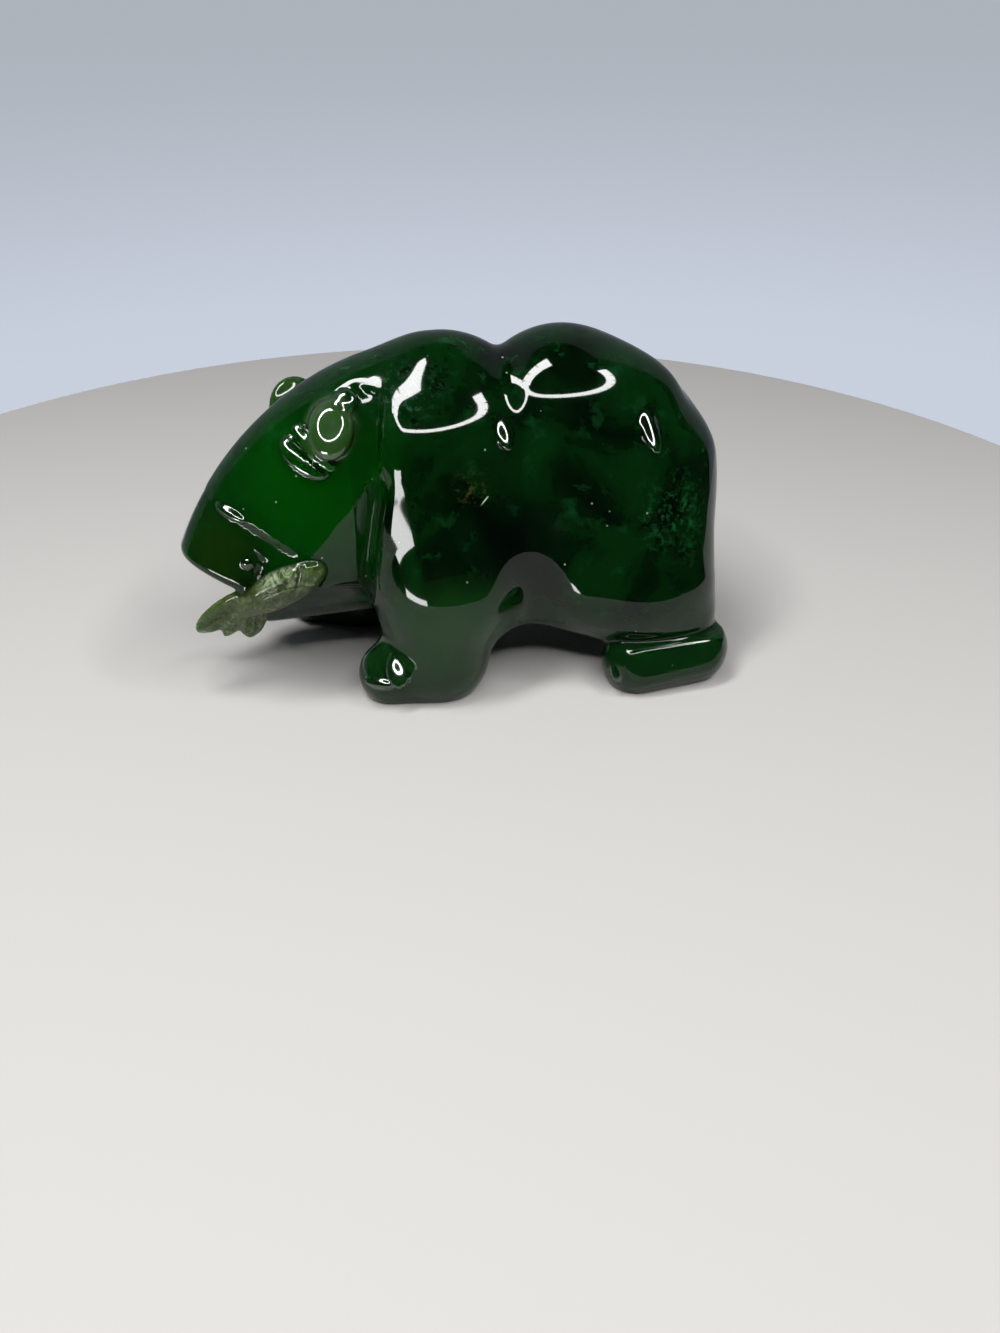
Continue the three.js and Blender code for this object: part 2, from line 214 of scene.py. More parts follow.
# Head, seen from the side: an arc behind the neck and above the ground, and the radius across the forehead
PROFILE = {"back": 7.0, "height": 3.0, "radius": 25.5}
CROSS_RADIUS = 6.0
STEEPEST_SIDE_SQUARED = 4
CHEEK = {
    "half": 6.6,
    "start": 3,
    "taper": 0.285,
    "neck_taper": 0.12,
    "lean": 0.22,
    "lean_from": 16.0,
    "scale": 0.93,
}
JOWL = {"height": 20.6, "slope": 1.07, "tuck": 0.25, "deepest": 7}
STEP_WAY = (0.606, 0.795)
MUZZLE_STEP = {"start": -6.4, "width": 0.6, "depth": 0.5, "foot": 14.2, "fade": 1.4}
MOUTH = {"height": 12.9, "slope": 0.55, "length": 5, "reach": 17.0, "scale": 0.88}
HEAD_BACK = 6.0
JAW = ((-8.0, -0.2, 10.8), (-17.6, -1.6, 6.9), 5.6, 1.7)
HEAD_EDGES = {"cheek": 2.6, "lip": 0.9, "back": 2.0, "jaw": 1.2}

# Ears, each with its middle, radii and directions, and the dishes cut into them
EAR_NEAR = basis((-0.159, -0.749, 0.643))
EAR_FAR = basis((1, 0.45, 0.0), (0, 0.3, 1))
EARS = (
    ((-11.2, -5.1, 23.4), (1.05, 1.75, 2.4), EAR_NEAR),
    ((-13.4, 4.7, 21.8), (2.5, 1.0, 2.8), EAR_FAR),
)
EAR_DISHES = (
    ((-11.5, -6.4, 24.5), (0.8, 1.15, 1.75), EAR_NEAR),
    ((-13.9, 5.75, 21.5), (1.6, 0.75, 1.9), EAR_FAR),
)

# Fish: its body, the lobes of its tail with their dip in degrees, reach and half width, and the lines cut in
# the lobes (across a half width, along the reach, out from the middle) and in the body
FISH_LEAN = (0, -0.35, 1)
FISH_BODY = ((-16.4, -6.2, 10.6), (4.3, 1.25, 1.8), basis((-6.8, 1.4, -3.8), FISH_LEAN))
TAIL_ROOT = np.array((-18.4, -6.0, 10.6), F)
TAIL_INWARD = 0.32
TAIL_LOBES = ((41, 7.6, 1.3), (58, 6.5, 0.85), (78, 5.9, 1.25))
LOBE_HALF_THICKNESS = 0.6
LOBE_JOINT = 0.35
FIN_LINE_SPREAD = 0.35
FIN_LINE_ALONG = (0.30, 0.95)
FIN_LINE_OUT = (0.62, 0.30)
FIN_LINE_RADIUS = 0.16
FIN_LINE_EDGE = 0.2
FISH_LINES = (
    ((-14.6, -7.4, 12.9), (-15.1, -7.55, 11.2)),
    ((-15.4, -7.6, 11.9), (-18.0, -7.25, 10.5)),
)

# Widths over which the parts of the bear run into each other, and widths of the edges of the fine details
JOINTS = {"near_hind": 1.5, "far_hind": 1.4, "near_fore": 2.0, "far_fore": 1.0, "head": 0.9, "ears": 0.8}
RELIEF_EDGE = 0.25
DISH_EDGE = 0.4


def join(a, b, width):
    return smooth_min(a, b, F(width))


def trim(a, b, width):
    """The first shape where it is also inside the second, with an edge rounded over this width."""
    return smooth_max(a, b, F(width))


def trunk(p):
    widths = TRUNK_JOINTS
    hips = join(join(egg(p, *LOIN), egg(p, *RUMP), widths["rump"]), ellipsoid(p, *HIP), widths["bones"])
    shoulders = join(egg(p, *HUMP), ellipsoid(p, *BLADE), widths["bones"])
    above = p[:, 2] - F(NECK_LINE[1])
    lean = F(NECK_LEAN[0]) * np.minimum(above, 0) - F(NECK_LEAN[1]) * np.maximum(above, 0)
    front = F(NECK_STEEPNESS) * (F(NECK_LINE[0]) + lean - p[:, 0])
    shoulders = np.where(p[:, 1] < NECK_SIDE, trim(shoulders, front, widths["neck"]), shoulders)
    barrel = join(join(hips, shoulders, widths["saddle"]), wedge(p, *RIBS), widths["ribs"])
    barrel = trim(barrel, -ellipsoid(p, *FLANK_HOLLOW), widths["hollow"])
    return trim(barrel, F(BELLY_CLEARANCE) - p[:, 2], widths["belly"])


def leg(muscle, shank, foot, joints):
    return join(join(muscle, shank, joints["knee"]), foot, joints["ankle"])


def near_hind_leg(p):
    foot = trim(limb(p, *NEAR_HIND_FOOT), p @ FOOT_SIDE - F(FOOT_SIDE_REACH), FOOT_SIDE_EDGE)
    foot = trim(foot, p[:, 2] - F(FOOT_TOP), LEDGE_EDGE)
    return leg(slab(p, *NEAR_THIGH), limb(p, *NEAR_HIND_SHANK), foot, HIND_JOINTS)


def far_hind_leg(p):
    foot = trim(limb(p, *FAR_HIND_FOOT), p[:, 2] - F(FOOT_TOP), LEDGE_EDGE)
    return leg(ellipsoid(p, *FAR_THIGH), limb(p, *FAR_HIND_SHANK), foot, HIND_JOINTS)


def near_fore_leg(p):
    before = (F(LEG_FRONT[0]) - p[:, 0]) * F(LEG_FRONT_WAY[0])
    front = before + F(LEG_FRONT_WAY[1]) * (p[:, 2] - F(LEG_FRONT[1]))
    upper = trim(slab(p, *NEAR_UPPER), front, LEG_FRONT_EDGE)
    return leg(upper, limb(p, *NEAR_FORE_SHANK), limb(p, *NEAR_FORE_FOOT), FORE_JOINTS)


def far_fore_leg(p):
    return leg(ellipsoid(p, *FAR_UPPER), limb(p, *FAR_FORE_SHANK), limb(p, *FAR_FORE_FOOT), FORE_JOINTS)


def head(p):
    """A wedge with an arched profile and flat, leaning cheeks, a step behind the muzzle, and the jaw."""
    rel = p[:, :2] - NECK
    reach, aside = rel @ AIM, rel @ LEFT
    z = p[:, 2]
    arc = np.sqrt((reach + PROFILE["back"]) ** 2 + (z - PROFILE["height"]) ** 2) - F(PROFILE["radius"])
    across = F(CROSS_RADIUS)
    drop = aside * aside / (2 * across)
    top = (arc + drop) / np.sqrt(1 + np.minimum((aside / across) ** 2, STEEPEST_SIDE_SQUARED))
    before = reach - CHEEK["start"]
    half = F(CHEEK["half"]) - F(CHEEK["taper"]) * np.maximum(before, 0)
    half = half - F(CHEEK["neck_taper"]) * np.maximum(-before, 0)
    down = F(STEP_WAY[0]) * reach - F(STEP_WAY[1]) * z
    over = F(STEP_WAY[1]) * reach + F(STEP_WAY[0]) * z
    past = np.clip((down - F(MUZZLE_STEP["start"])) / F(MUZZLE_STEP["width"]), 0, 1)
    step = past * np.clip((over - F(MUZZLE_STEP["foot"])) / F(MUZZLE_STEP["fade"]), 0, 1)
    lean = F(CHEEK["lean"]) * (F(CHEEK["lean_from"]) - z)
    tuck = F(JOWL["tuck"]) * np.clip(z - F(JOWL["height"]) + F(JOWL["slope"]) * reach, -JOWL["deepest"], 0)
    cheek = (np.abs(aside) - half - lean - tuck + F(MUZZLE_STEP["depth"]) * step) * F(CHEEK["scale"])
    rise = F(MOUTH["slope"]) * np.clip(F(MOUTH["reach"]) - reach, 0, MOUTH["length"])
    lip = (F(MOUTH["height"]) - rise - z) * F(MOUTH["scale"])
    skull = trim(trim(top, cheek, HEAD_EDGES["cheek"]), lip, HEAD_EDGES["lip"])
    skull = trim(skull, -(reach + F(HEAD_BACK)), HEAD_EDGES["back"])
    return join(skull, limb(p, *JAW), HEAD_EDGES["jaw"])


def ears(p):
    return np.minimum(*(ellipsoid(p, *ear) for ear in EARS))


def tail_lobe(p, dip, reach, half):
    """One lobe of the tail, with two lines that fan out along it."""
    t = math.radians(dip)
    way = np.array((-math.cos(t), TAIL_INWARD, -math.sin(t)))
    way /= np.linalg.norm(way)
    turn = basis(way, FISH_LEAN)
    middle = TAIL_ROOT + F(reach * 0.5) * way.astype(F)
    lobe = ellipsoid(p, middle, (reach * 0.5, LOBE_HALF_THICKNESS, half), turn)
    for across in (-FIN_LINE_SPREAD, FIN_LINE_SPREAD):
        start = (FIN_LINE_ALONG[0] * reach, FIN_LINE_OUT[0], 0.5 * across * half)
        end = (FIN_LINE_ALONG[1] * reach, FIN_LINE_OUT[1], across * half)
        a = TAIL_ROOT + turn.T @ np.array(start, F)
        b = TAIL_ROOT + turn.T @ np.array(end, F)
        lobe = trim(lobe, -rod(p, a, b, FIN_LINE_RADIUS), FIN_LINE_EDGE)
    return lobe


def fish(p):
    d = ellipsoid(p, *FISH_BODY)
    for lobe in TAIL_LOBES:
        d = join(d, tail_lobe(p, *lobe), LOBE_JOINT)
    for a, b in FISH_LINES:
        d = trim(d, -rod(p, a, b, FIN_LINE_RADIUS), RELIEF_EDGE)
    return d


def bear(p):
    d = trunk(p)
    d = join(d, near_hind_leg(p), JOINTS["near_hind"])
    d = join(d, far_hind_leg(p), JOINTS["far_hind"])
    d = join(d, near_fore_leg(p), JOINTS["near_fore"])
    d = join(d, far_fore_leg(p), JOINTS["far_fore"])
    d = join(d, head(p), JOINTS["head"])
    return join(d, ears(p), JOINTS["ears"])


# Fine relief: each ridge has its middle, half length, half width, height, direction and outward normal
RIDGES = (
    ("lower_lid", (-13.5, -5.1, 21.3), 2.2, 1.1, 0.5, (2.0, -1.3, -1.7), (-0.2, -0.66, 0.72)),
    ("upper_lid", (-12.6, -5.2, 22.1), 2.4, 0.9, 0.5, (1.9, -1.6, -2.2), (-0.2, -0.66, 0.72)),
    ("ear_knob", (-9.8, -3.95, 25.3), 1.0, 1.0, 0.5, (1.0, -0.1, 0.0), (-0.08, -0.7, 0.71)),
    ("cheek_lip", (-19.7, -4.7, 17.0), 1.4, 0.4, 0.35, (1.6, -1.2, -0.8), (-0.24, -0.65, 0.72)),
    ("mouth_dot", (-18.9, -5.7, 13.0), 0.4, 0.4, 0.35, (1.0, -0.3, 0.0), (-0.2, -0.7, 0.7)),
    ("toe", (-7.5, -9.9, 3.7), 1.0, 1.65, 0.4, (1.0, -0.15, 0.0), (-0.1, -0.7, 0.7)),
    ("toe_tip", (-9.2, -9.75, 2.5), 1.4, 0.45, 0.35, (-1.0, 0.55, 0.0), (-0.33, -0.61, 0.72)),
    ("hind_toe", (11.3, -11.8, 2.3), 0.5, 1.0, 0.35, (1.0, -0.4, 0.0), (-0.25, -0.66, 0.71)),
    ("hip", (14.15, -7.3, 22.5), 2.4, 0.8, 0.4, (0.12, -0.71, -0.69), (0.15, -0.68, 0.72)),
    ("saddle", (2.2, -6.8, 22.9), 1.7, 0.75, 0.4, (0.15, -0.70, -0.70), (0.12, -0.68, 0.72)),
)
# Each groove has its two ends and its radius
GROOVES = (
    ((-14.1, -4.6, 22.5), (-12.0, -5.95, 20.6), 0.3),
    ((-13.0, -4.4, 23.4), (-11.3, -5.95, 21.2), 0.3),
    ((-18.5, -6.05, 14.2), (-17.7, -6.2, 13.1), 0.25),
    ((-17.7, -6.2, 13.1), (-18.0, -6.2, 12.0), 0.25),
)


def ridge(p, centre, half, width, height, way, out):
    return ellipsoid(p, centre, (half, width, height), basis(way, out))


def relief(p, d):
    """Small carved details on top of the main shapes."""
    for _, *form in RIDGES:
        d = join(d, ridge(p, *form), RELIEF_EDGE)
    for a, b, radius in GROOVES:
        d = trim(d, -rod(p, a, b, radius), RELIEF_EDGE)
    for dish in EAR_DISHES:
        d = trim(d, -ellipsoid(p, *dish), DISH_EDGE)
    return d


def carving(p):
    """Signed distance of the whole stone, negative inside."""
    d = join(relief(p, bear(p)), fish(p), RELIEF_EDGE)
    return np.maximum(d, -p[:, 2])


def slope(p):
    """Unit normal of the carving at each point."""
    g = np.empty_like(p)
    for k in range(3):
        e = np.zeros(3, F)
        e[k] = NORMAL_STEP
        g[:, k] = carving(p + e) - carving(p - e)
    return g / np.maximum(length(g), F(1e-9))[:, None]


def surface():
    """Corners and four-sided faces of the carving: one corner per grid cell that the surface crosses."""
    low, high = np.array(GRID_LOW), np.array(GRID_HIGH)
    n = np.ceil((high - low) / GRID_STEP).astype(int) + 1
    axes = [(low[k] + GRID_STEP * np.arange(n[k])).astype(F) for k in range(3)]
    yz = np.stack(np.meshgrid(axes[1], axes[2], indexing="ij"), -1).reshape(-1, 2)
    d = np.empty(n, F)
    for i, x in enumerate(axes[0]):
        d[i] = carving(np.column_stack([np.full(len(yz), x, F), yz])).reshape(n[1], n[2])
    inside = d < 0
    cells = n - 1
    total = np.zeros(tuple(cells) + (3,), F)
    crossings = np.zeros(tuple(cells), F)
    for k in range(3):
        near = np.moveaxis(d, k, 0)[:-1]
        far = np.moveaxis(d, k, 0)[1:]
        cut = (near < 0) != (far < 0)
        t = np.where(cut, near / np.where(cut, near - far, 1), 0)
        cut = np.moveaxis(cut, 0, k)
        t = np.moveaxis(t, 0, k)
        u, v = [m for m in range(3) if m != k]
        for du in (0, 1):
            for dv in (0, 1):
                pick = [slice(None)] * 3
                pick[u] = slice(du, du + cells[u])
                pick[v] = slice(dv, dv + cells[v])
                c = cut[tuple(pick)]
                crossings += c
                total[..., k] += t[tuple(pick)]
                total[..., u] += c * du
                total[..., v] += c * dv
    used = crossings > 0
    index = np.full(tuple(cells), -1, np.int64)
    index[used] = np.arange(used.sum())
    corner = np.argwhere(used).astype(F)
    places = low.astype(F) + F(GRID_STEP) * (corner + total[used] / crossings[used][:, None])
    faces = []
    for k in range(3):
        u, v = (k + 1) % 3, (k + 2) % 3
        near = np.moveaxis(inside, k, 0)[:-1]
        far = np.moveaxis(inside, k, 0)[1:]
        cut = np.moveaxis(near != far, 0, k)
        spot = np.argwhere(cut)
        spot = spot[(spot[:, u] > 0) & (spot[:, v] > 0)]
        step_u, step_v = np.eye(3, dtype=int)[u], np.eye(3, dtype=int)[v]
        ring = [spot - step_u - step_v, spot - step_v, spot, spot - step_u]
        quad = np.stack([index[tuple(r.T)] for r in ring], 1)
        outward = inside[tuple(spot.T)]
        quad[~outward] = quad[~outward][:, ::-1]
        faces.append(quad)
    for _ in range(SETTLING_PASSES):
        places -= slope(places) * carving(places)[:, None] * F(SETTLING_SHARE)
    return places, np.concatenate(faces)


# How far each kind of stone reaches past its own shape before it has faded out
FISH_FADE = 0.5
EAR_FADE = 0.8
RAISED_FADE = 0.3
# The crease behind the head, dulled as painted shade: how far it reaches, its top and how it fades there
CREASE_REACH = 1.6
CREASE_TOP = 22.5
CREASE_FADE = 1.5


def kinds_of_stone(p):
    """How much each point belongs to the fish, an ear, a raised detail or the crease dulled as painted shade,
    from 0 to 1.
    """
    fishy = np.clip((bear(p) - fish(p)) / F(FISH_FADE), 0, 1)
    ear = np.clip(1 - np.abs(ears(p)) / F(EAR_FADE), 0, 1) * (ears(p) < trunk(p))
    ridges = np.min([ridge(p, *form) for _, *form in RIDGES], axis=0)
    raised = np.clip(1 - np.abs(ridges) / F(RAISED_FADE), 0, 1)
    raised = np.maximum(raised, ear * (p[:, 1] < 0))
    shoulders = np.minimum(trunk(p), near_fore_leg(p))
    crease = np.clip(1 - np.abs(head(p) - shoulders) / F(CREASE_REACH), 0, 1)
    crease *= np.clip((F(CREASE_TOP) - p[:, 2]) / F(CREASE_FADE), 0, 1)
    return {"fish": fishy, "ear": ear, "raised": raised, "crease": crease}


def make_carving():
    places, faces = surface()
    normals = slope(places)
    row = (places - np.array((*MIDDLE, 0), F)) * F(MM)
    mesh = bpy.data.meshes.new("jade_bear_with_fish")
    mesh.vertices.add(len(row))
    mesh.vertices.foreach_set("co", row.ravel())
    mesh.loops.add(faces.size)
    mesh.loops.foreach_set("vertex_index", faces.ravel().astype(np.int32))
    mesh.polygons.add(len(faces))
    mesh.polygons.foreach_set("loop_start", np.arange(0, faces.size, 4, dtype=np.int32))
    mesh.update(calc_edges=True)
    mesh.validate()
    mesh.polygons.foreach_set("use_smooth", np.ones(len(mesh.polygons), bool))
    mesh.normals_split_custom_set_from_vertices(normals.tolist())
    for name, values in kinds_of_stone(places).items():
        mesh.attributes.new(name, "FLOAT", "POINT").data.foreach_set("value", values.astype(F))
    piece = bpy.data.objects.new("jade_bear_with_fish", mesh)
    bpy.context.scene.collection.objects.link(piece)
    return piece


class Nodes:
    """Short calls for wiring a node tree."""

    def __init__(self, tree):
        self.tree = tree
        tree.nodes.clear()

    def add(self, kind, **settings):
        node = self.tree.nodes.new(kind)
        for key, value in settings.items():
            setattr(node, key, value)
        return node

    def link(self, source, target):
        self.tree.links.new(source, target)

    def put(self, node, **values):
        for key, value in values.items():
            socket = node.inputs[key.replace("_", " ")]
            if hasattr(value, "is_linked"):
                self.link(value, socket)
            else:
                socket.default_value = value

    def attribute(self, name):
        return self.add("ShaderNodeAttribute", attribute_name=name).outputs["Fac"]

    def noise(self, where, scale, detail=3.0, roughness=0.5, distortion=0.0):
        node = self.add("ShaderNodeTexNoise")
        self.put(node, Vector=where, Scale=scale, Detail=detail, Roughness=roughness, Distortion=distortion)
        return node.outputs["Fac"]

    def ramp(self, value, stops):
        node = self.add("ShaderNodeValToRGB")
        self.link(value, node.inputs["Fac"])
        while len(node.color_ramp.elements) < len(stops):
            node.color_ramp.elements.new(0.5)
        for element, (place, colour) in zip(node.color_ramp.elements, stops):
            element.position = place
            element.color = (*colour, 1)
        return node.outputs["Color"]

    def range(self, value, low, high, to_low=0.0, to_high=1.0):
        node = self.add("ShaderNodeMapRange", interpolation_type="SMOOTHSTEP")
        self.link(value, node.inputs["Value"])
        for key, number in (("From Min", low), ("From Max", high), ("To Min", to_low), ("To Max", to_high)):
            node.inputs[key].default_value = number
        return node.outputs["Result"]

    def mix(self, amount, a, b, blend="MIX"):
        node = self.add("ShaderNodeMix", data_type="RGBA", blend_type=blend)
        for socket, value in ((node.inputs[0], amount), (node.inputs[6], a), (node.inputs[7], b)):
            if hasattr(value, "is_linked"):
                self.link(value, socket)
            elif isinstance(value, tuple):
                socket.default_value = (*value, 1)
            else:
                socket.default_value = value
        return node.outputs[2]

    def math(self, how, a, b=None, clamp=False):
        node = self.add("ShaderNodeMath", operation=how, use_clamp=clamp)
        for socket, value in zip(node.inputs, (a, b)):
            if value is None:
                continue
            if hasattr(value, "is_linked"):
                self.link(value, socket)
            else:
                socket.default_value = value
        return node.outputs[0]


def millimetres(nodes):
    """Object coordinates in millimetres, so that the texture scales read as sizes on the stone."""
    here = nodes.add("ShaderNodeTexCoord").outputs["Object"]
    scale = nodes.add("ShaderNodeVectorMath", operation="SCALE")
    nodes.link(here, scale.inputs[0])
    scale.inputs["Scale"].default_value = 1 / MM
    return scale.outputs["Vector"]


def spot(nodes, where, centre, reach):
    """1 at a place on the stone, fading to 0 at its reach."""
    away = nodes.add("ShaderNodeVectorMath", operation="DISTANCE")
    nodes.link(where, away.inputs[0])
    away.inputs[1].default_value = centre
    return nodes.range(away.outputs["Value"], reach, 0.0)


# Roughness and shine of the smooth stone, then of the small raised details, and the shine left in the crease,
# dulled as painted shade
ROUGHNESS = (0.05, 0.09)
SHINE = (0.28, 0.9)
CREASE_SHINE = 0.1
JADE_IOR = 1.61
GLOW_RADIUS = (0.5, 1.6, 0.6)
GLOW_SCALE = 1.4

# Colours of the stone: each ramp has its places and colours
DEEP_STONE = ((0.38, (0.0003, 0.003, 0.0005)), (0.60, (0.001, 0.015, 0.002)))
VEIN_COLOUR = (0.004, 0.035, 0.010)
# Painted glow of light through the lower legs: a brighter green toward the soles, the heights where it grows
# and its strength
FOOT_GLOW_PAINTED_COLOUR = (0.003, 0.022, 0.004)
FOOT_GLOW_PAINTED_HEIGHTS = (9.0, 2.0)
FOOT_GLOW_PAINTED_AMOUNT = 0.8
# Painted glow of light through the thin ears, a paler olive green
EAR_GLOW_PAINTED_COLOUR = (0.035, 0.085, 0.02)
OLIVE_STONE = (
    (0.35, (0.027, 0.046, 0.007)),
    (0.55, (0.05, 0.075, 0.02)),
    (0.72, (0.16, 0.19, 0.10)),
)
FISH_TOP = (-16.4, -6.4, 13.2)
FISH_TOP_REACH = 3.5
FISH_TOP_COLOUR = (0.33, 0.37, 0.27)

# Places on the stone of another colour, some of them painted shade and glow, and mottled ones: centre in the
# row frame, reach and colour
TINTS_AND_PAINTED_LIGHT = (
    ((-12.5, -5.0, 18.5), 11.0, (0.0006, 0.037, 0.0006)),
    ((-21.0, -5.0, 13.6), 5.5, (0.004, 0.017, 0.001)),
    # painted shade in the hollow between the shoulder and the hip
    ((3.0, -8.5, 14.0), 6.5, (0.0003, 0.0016, 0.0006)),
    # painted shadow in the gap between the cheek and the shoulder
    ((-7.5, -8.0, 17.0), 3.5, (0.0003, 0.0010, 0.0006)),
    # painted glow of light through the near fore leg
    ((-2.5, -10.0, 6.0), 8.0, (0.010, 0.050, 0.009)),
)
MOTTLES = (
    ((16.8, -9.0, 15.5), 5.0, (0.012, 0.090, 0.025)),
    ((-4.8, -4.2, 25.6), 4.0, (0.030, 0.060, 0.045)),
    ((-0.2, -8.3, 19.2), 2.2, (0.045, 0.060, 0.010)),
)

# Scratches and tiny pale flecks: each scratch has its two ends and its half width
SCRATCHES = (
    ((0.6, -8.5, 18.2), (-0.3, -8.8, 17.4), 0.07),
    ((-0.3, -8.8, 17.4), (-1.2, -9.1, 16.8), 0.05),
    ((11.1, -9.7, 16.4), (13.0, -9.8, 16.6), 0.06),
    ((13.0, -9.8, 16.6), (14.0, -9.6, 17.0), 0.05),
)
SCRATCH_COLOUR = (0.45, 0.52, 0.45)


def scratch(nodes, where, a, b, half_width):
    """1 on the line between two places of the carving frame, fading to 0 at its half width."""
    start = Vector(a) - Vector((*MIDDLE, 0))
    along = Vector(b) - Vector(a)
    offset = nodes.add("ShaderNodeVectorMath", operation="SUBTRACT")
    nodes.link(where, offset.inputs[0])
    offset.inputs[1].default_value = start
    share = nodes.add("ShaderNodeVectorMath", operation="DOT_PRODUCT")
    nodes.link(offset.outputs["Vector"], share.inputs[0])
    share.inputs[1].default_value = along / along.length_squared
    nearest = nodes.add("ShaderNodeVectorMath", operation="SCALE")
    nearest.inputs[0].default_value = along
    nodes.link(nodes.math("MULTIPLY", share.outputs["Value"], 1.0, clamp=True), nearest.inputs["Scale"])
    away = nodes.add("ShaderNodeVectorMath", operation="DISTANCE")
    nodes.link(offset.outputs["Vector"], away.inputs[0])
    nodes.link(nearest.outputs["Vector"], away.inputs[1])
    return nodes.range(away.outputs["Value"], half_width, 0.4 * half_width)


def green_stone(nodes, where):
    """Dark green with clouds, veins and tints, painted shade, pale flecks and scratches, and painted glow in
    the ears and by the feet.
    """
    clouds = nodes.noise(where, 0.16, 4.0, 0.55, 0.6)
    veins = nodes.noise(where, 0.55, 5.0, 0.6, 0.25)
    deep = nodes.ramp(clouds, DEEP_STONE)
    green = nodes.mix(nodes.range(veins, 0.55, 0.78), deep, VEIN_COLOUR)
    # tints of the stone, painted shade in the hollow and the gap, and painted glow on the near fore leg
    for centre, reach, colour in TINTS_AND_PAINTED_LIGHT:
        green = nodes.mix(spot(nodes, where, centre, reach), green, colour)
    crumbs = nodes.range(nodes.noise(where, 1.9, 5.0, 0.7), 0.50, 0.68)
    for centre, reach, colour in MOTTLES:
        amount = nodes.math("MULTIPLY", spot(nodes, where, centre, reach), crumbs)
        green = nodes.mix(amount, green, colour)
    fleck = nodes.add("ShaderNodeTexVoronoi")
    nodes.put(fleck, Vector=where, Scale=0.5)
    tiny = nodes.range(fleck.outputs["Distance"], 0.055, 0.03, 0.0, 0.5)
    green = nodes.mix(tiny, green, SCRATCH_COLOUR)
    for a, b, half_width in SCRATCHES:
        green = nodes.mix(scratch(nodes, where, a, b, half_width), green, SCRATCH_COLOUR)
    height = nodes.add("ShaderNodeSeparateXYZ")
    nodes.link(where, height.inputs[0])
    # painted glow of light through the lower legs, growing toward the soles
    low = nodes.range(height.outputs["Z"], *FOOT_GLOW_PAINTED_HEIGHTS, 0.0, FOOT_GLOW_PAINTED_AMOUNT)
    green = nodes.mix(low, green, FOOT_GLOW_PAINTED_COLOUR)
    # painted glow of light through the thin ears, at half strength
    return nodes.mix(nodes.math("MULTIPLY", nodes.attribute("ear"), 0.5), green, EAR_GLOW_PAINTED_COLOUR)


def olive_stone(nodes, where):
    """The paler, streaked and cloudy stone of the fish."""
    streaks = nodes.noise(where, 1.1, 4.0, 0.62, 1.5)
    olive = nodes.ramp(streaks, OLIVE_STONE)
    top = spot(nodes, where, FISH_TOP, FISH_TOP_REACH)
    cloudy = nodes.math("MULTIPLY", top, nodes.range(streaks, 0.42, 0.6))
    return nodes.mix(cloudy, olive, FISH_TOP_COLOUR)


def jade():
    material = bpy.data.materials.new("jade")
    material.use_nodes = True
    nodes = Nodes(material.node_tree)
    where = millimetres(nodes)
    colour = nodes.mix(nodes.attribute("fish"), green_stone(nodes, where), olive_stone(nodes, where))
    shader = nodes.add("ShaderNodeBsdfPrincipled")
    nodes.link(colour, shader.inputs["Base Color"])
    raised = nodes.attribute("raised")
    nodes.link(nodes.range(raised, 0.0, 1.0, *ROUGHNESS), shader.inputs["Roughness"])
    # painted shade: the reflections in the crease behind the head are dimmed
    painted_crease_shade = nodes.range(nodes.attribute("crease"), 0.0, 0.8, 1.0, CREASE_SHINE)
    shine = nodes.math("MULTIPLY", nodes.range(raised, 0.0, 1.0, *SHINE), painted_crease_shade)
    nodes.link(shine, shader.inputs["Specular IOR Level"])
    shader.inputs["IOR"].default_value = JADE_IOR
    shader.inputs["Subsurface Weight"].default_value = 1.0
    shader.inputs["Subsurface Radius"].default_value = GLOW_RADIUS
    shader.inputs["Subsurface Scale"].default_value = GLOW_SCALE * MM
    out = nodes.add("ShaderNodeOutputMaterial")
    nodes.link(shader.outputs["BSDF"], out.inputs["Surface"])
    return material


# Stage
FLOOR_MIDDLE = (0.0, 12.0)
FLOOR_RADIUS = 82.0
FLOOR_SIDES = 96
FLOOR_COLOUR = (0.42, 0.41, 0.395)
BACKDROP_RADIUS = 260.0
BACKDROP_SPREAD = 78.0
BACKDROP_BOTTOM = -24.0
BACKDROP_TOP = 66.0
BACKDROP_FADE = (-50.0, 46.0)
BACKDROP_COLOUR = (0.42, 0.45, 0.50)
BACKDROP_LOW_COLOUR = (0.58, 0.63, 0.73)
BACKDROP_SHINE = 0.45
BEAR_MIDDLE_HEIGHT = 14.0


def link_mesh(name, corners, faces):
    mesh = bpy.data.meshes.new(name)
    mesh.from_pydata([tuple(c * MM for c in corner) for corner in corners], [], faces)
    mesh.polygons.foreach_set("use_smooth", [True] * len(mesh.polygons))
    piece = bpy.data.objects.new(name, mesh)
    bpy.context.scene.collection.objects.link(piece)
    return piece


def plain(name, colour, roughness):
    material = bpy.data.materials.new(name)
    material.use_nodes = True
    shader = material.node_tree.nodes["Principled BSDF"]
    shader.inputs["Base Color"].default_value = (*colour, 1)
    shader.inputs["Roughness"].default_value = roughness
    shader.inputs["Specular IOR Level"].default_value = 0.2
    return material


def make_floor():
    corners = []
    for k in range(FLOOR_SIDES):
        t = 2 * math.pi * k / FLOOR_SIDES
        along_x = FLOOR_RADIUS * math.cos(t)
        along_y = FLOOR_RADIUS * math.sin(t)
        corners.append((FLOOR_MIDDLE[0] + along_x, FLOOR_MIDDLE[1] + along_y, 0))
    floor = link_mesh("floor", corners, [tuple(range(FLOOR_SIDES))])
    floor.data.materials.append(plain("floor", FLOOR_COLOUR, 0.8))


